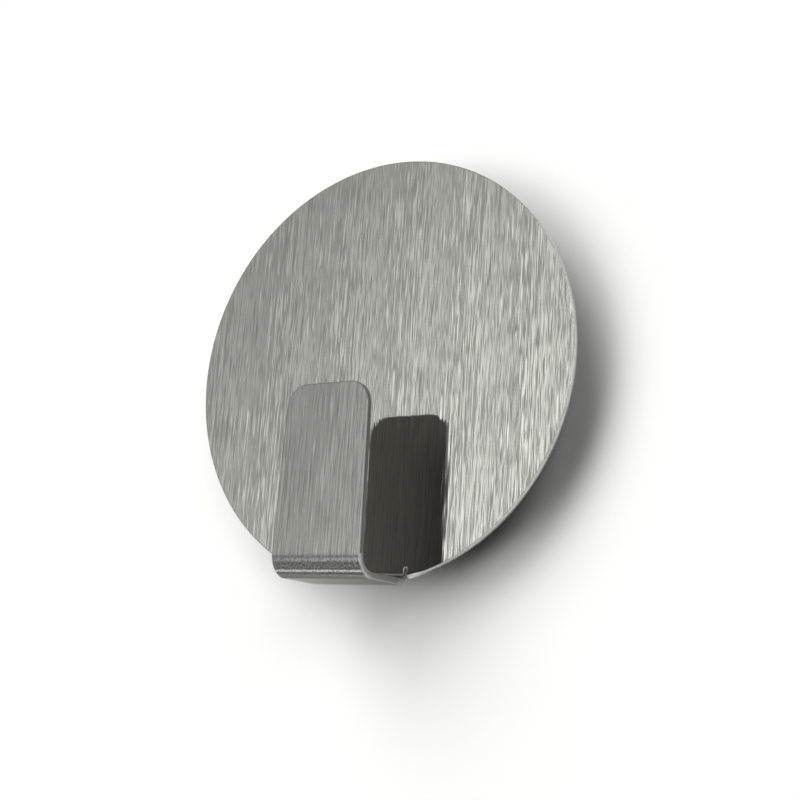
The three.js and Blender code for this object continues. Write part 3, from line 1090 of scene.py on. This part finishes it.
def add_wall(settings):
    """A flat wall just behind the grip pad."""
    y = PAD_HIGH.y + settings.wall_gap
    left, right = -settings.wall_left, settings.wall_right
    low, high = -settings.wall_down, settings.wall_up
    mesh = bpy.data.meshes.new("wall")
    mesh.from_pydata([(left, y, low), (right, y, low), (right, y, high), (left, y, high)], [], [(0, 1, 2, 3)])
    mesh.materials.append(wall_material(settings))
    add_object("wall", mesh)


def glow_level(tree, way, light):
    """Brightness that is strongest from one bearing and fades out evenly round it."""
    node = tree.nodes.new("ShaderNodeVectorMath")
    node.operation = "DOT_PRODUCT"
    tree.links.new(way, node.inputs[0])
    node.inputs[1].default_value = aim_at(light)
    fade = tree.nodes.new("ShaderNodeMapRange")
    fade.interpolation_type = "SMOOTHSTEP"
    fade.inputs["From Min"].default_value = math.cos(math.radians(light.spread))
    fade.inputs["To Max"].default_value = light.strength
    tree.links.new(node.outputs["Value"], fade.inputs["Value"])
    return fade.outputs["Result"]


def wall_light(tree, way, depth):
    """Light on the wall and the dull pieces: soft glows in front and an even level from behind."""
    light = remap(tree, depth, REAR_START, REAR_FULL, 0.0, REAR_LIGHT)
    for lamp in WALL_LIGHTS:
        light = calc(tree, "ADD", light, glow_level(tree, way, lamp))
    return light


def room_levels(tree, height):
    """Brightness of the mirrored room from the floor, through a dark line at the horizon, to the ceiling."""
    ramp = tree.nodes.new("ShaderNodeValToRGB")
    tree.links.new(calc(tree, "MULTIPLY_ADD", height, 0.5, 0.5), ramp.inputs["Fac"])
    stops = ramp.color_ramp.elements
    while len(stops) < len(ROOM_LEVELS):
        stops.new(1.0)
    for stop, (elevation, level) in zip(stops, ROOM_LEVELS):
        stop.position = 0.5 + 0.5 * math.sin(math.radians(elevation))
        stop.color = (level, level, level, 1.0)
    return ramp.outputs["Color"]


def mirrored_room(tree, way, across, depth, height):
    """The room that the metal mirrors, with screens that are cut into fine upright slats."""
    wave = calc(tree, "SINE", calc(tree, "MULTIPLY", calc(tree, "ARCTAN2", across, depth), SLATS_ROUND))
    slats = remap(tree, wave, -SLAT_EDGE, SLAT_EDGE, 0.0, SLAT_PEAK)
    lit = 1.0
    for screen in SCREENS:
        lit = calc(tree, "MULTIPLY_ADD", slats, glow_level(tree, way, screen), lit)
    return calc(tree, "MULTIPLY", room_levels(tree, height), lit)


def add_world():
    """White to the camera, soft light for the wall and the dull pieces, and a pale room for the metal."""
    world = bpy.data.worlds.new("room")
    bpy.context.scene.world = world
    world.use_nodes = True
    tree = world.node_tree
    way = tree.nodes.new("ShaderNodeTexCoord").outputs["Generated"]
    across, depth, height = parted(tree, way)
    light = wall_light(tree, way, depth)
    room = mirrored_room(tree, way, across, depth, height)
    path = tree.nodes.new("ShaderNodeLightPath")
    mirrored = calc(tree, "MAXIMUM", path.outputs["Is Glossy Ray"], path.outputs["Is Transmission Ray"])
    level = mixed_value(tree, mirrored, light, room)
    level = mixed_value(tree, path.outputs["Is Camera Ray"], level, 1.0)
    shader = tree.nodes["Background"]
    shader.inputs["Color"].default_value = (1.0, 1.0, 1.0, 1.0)
    tree.links.new(level, shader.inputs["Strength"])


class AddStage(bpy.types.Operator):
    """Put up the wall, the light and the camera"""

    bl_idname = "magnetic_hook.add_stage"
    bl_label = "Wall, Light and Camera"

    def execute(self, context):
        settings = context.scene.hook_stage
        context.scene.view_settings.view_transform = "Standard"
        disc_middle = Vector((0.0, TAPE_LOW.y - context.scene.hook_plate.sheet, 0.0))
        add_camera(settings, disc_middle)
        add_wall(settings)
        add_world()
        add_sun("low", LOW_SUN)
        return {"FINISHED"}


# Panel

OPERATORS = (AddPlate, AddTape, AddTray, AddMagnets, AddPad, AddStage)
SETTINGS = (("hook_plate", PlateSettings), ("hook_backing", BackingSettings), ("hook_stage", StageSettings))


class HookPanel(bpy.types.Panel):
    """Lists the hook's pieces and their sizes"""

    bl_idname = "VIEW3D_PT_magnetic_hook"
    bl_label = "Magnetic Hook"
    bl_space_type = "VIEW_3D"
    bl_region_type = "UI"
    bl_category = "Magnetic Hook"

    def draw(self, context):
        column = self.layout.column()
        for operator in OPERATORS:
            column.operator(operator.bl_idname)
        for name, group in SETTINGS:
            box = self.layout.box()
            box.label(text=group.__doc__)
            for label in group.__annotations__:
                box.prop(getattr(context.scene, name), label)


CLASSES = (*(group for _, group in SETTINGS), *OPERATORS, HookPanel)


def register():
    """Makes the pieces' settings, operators and panel known to Blender."""
    for item in CLASSES:
        bpy.utils.register_class(item)
    for name, group in SETTINGS:
        setattr(bpy.types.Scene, name, PointerProperty(type=group))


def unregister():
    """Takes them away again."""
    for name, _ in SETTINGS:
        delattr(bpy.types.Scene, name)
    for item in reversed(CLASSES):
        bpy.utils.unregister_class(item)


def main():
    """Makes every piece and the stage."""
    register()
    bpy.ops.magnetic_hook.add_plate()
    bpy.ops.magnetic_hook.add_tape()
    bpy.ops.magnetic_hook.add_tray()
    bpy.ops.magnetic_hook.add_magnets()
    bpy.ops.magnetic_hook.add_pad()
    bpy.ops.magnetic_hook.add_stage()


if __name__ == "__main__":
    main()
